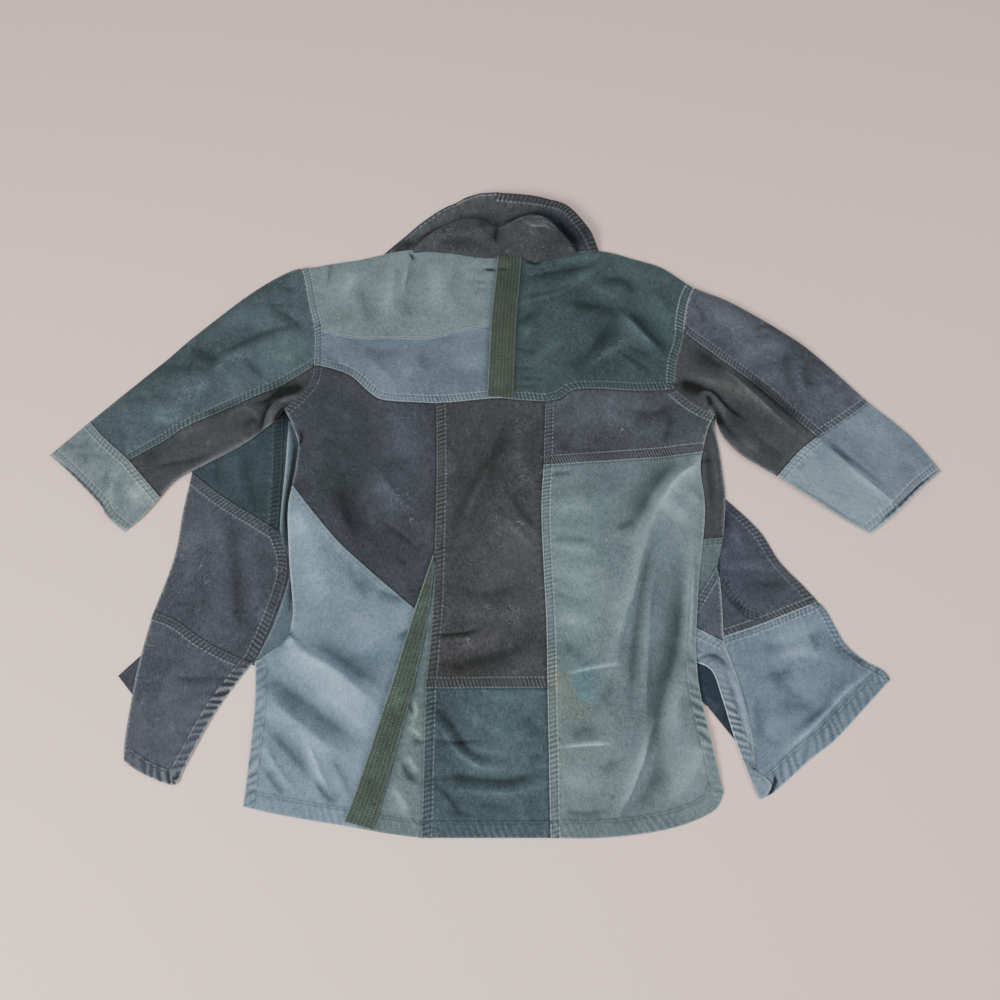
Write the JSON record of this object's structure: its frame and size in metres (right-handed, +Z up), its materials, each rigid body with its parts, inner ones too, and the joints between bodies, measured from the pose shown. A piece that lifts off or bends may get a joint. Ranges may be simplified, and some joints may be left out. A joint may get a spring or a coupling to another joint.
{
  "type": "patched jacket",
  "caption": "Worn patchwork cotton jacket with three-quarter sleeves, side vents, webbing tapes and a turned-up collar, laid flat with its back up.",
  "frame": {"origin": "middle of the laid-out jacket, on the surface that it lies on", "axes": "+X to the wearer's right, +Y towards the collar, +Z up, from the fronts to the back"},
  "size_m": [1.211, 0.9231, 0.0327],
  "materials": {
    "sage_twill": "pale grey-green worn cotton twill, mottled and chalky at the seams",
    "blue_grey_twill": "blue-grey worn cotton twill with faded mottling",
    "dark_green_twill": "dark blue-green worn cotton twill, smoky and uneven",
    "charcoal_twill": "charcoal worn cotton twill, brownish in the light, pale at the seams",
    "pale_blue_twill": "pale blue-grey worn cotton twill, chalky",
    "brown_twill": "very dark brown worn cotton twill",
    "teal_twill": "dark teal worn cotton twill, smoky and uneven",
    "sage_green_twill": "grey-green worn cotton twill with a few bleach marks",
    "olive_webbing": "olive cotton webbing with ribs along its length",
    "olive_brown_twill": "olive-brown worn cotton twill",
    "navy_twill": "dark navy cotton, the inside of the front",
    "thread": "grey-green sewing thread"
  },
  "bodies": {
    "root": {"yoke_left_upper": "sage_twill", "yoke_left_lower": "blue_grey_twill", "yoke_right": "dark_green_twill", "back_left_upper": "charcoal_twill", "back_left_lower": "pale_blue_twill", "back_sliver": "sage_twill", "back_centre_upper": "brown_twill", "back_centre_lower": "teal_twill", "back_right_upper": "charcoal_twill", "back_right_lower": "sage_green_twill", "yoke_tape": "olive_webbing", "back_tape": "olive_webbing", "front_left_chest": "charcoal_twill", "front_right_chest": "navy_twill", "front_right_upper": "charcoal_twill", "front_right_lower": "blue_grey_twill", "front_left_turned_edge": "charcoal_twill", "front_left_upper": "teal_twill", "front_left_middle": "charcoal_twill", "front_left_lower": "charcoal_twill", "side_left": "pale_blue_twill", "side_right_upper": "olive_brown_twill", "side_right_middle": "sage_twill", "side_right_lower": "charcoal_twill", "side_right_facing": "blue_grey_twill", "sleeve_left_upper": "teal_twill", "sleeve_left_under": "olive_brown_twill", "sleeve_left_cuff": "sage_twill", "sleeve_right_upper": "charcoal_twill", "sleeve_right_under": "olive_brown_twill", "sleeve_right_cuff": "blue_grey_twill", "sleeve_right_cuff_fold": "pale_blue_twill", "collar_leaf_left": "brown_twill", "collar_leaf_right": "brown_twill", "collar_stand_left": "brown_twill", "collar_stand_right": "brown_twill"}
  },
  "joints": []
}
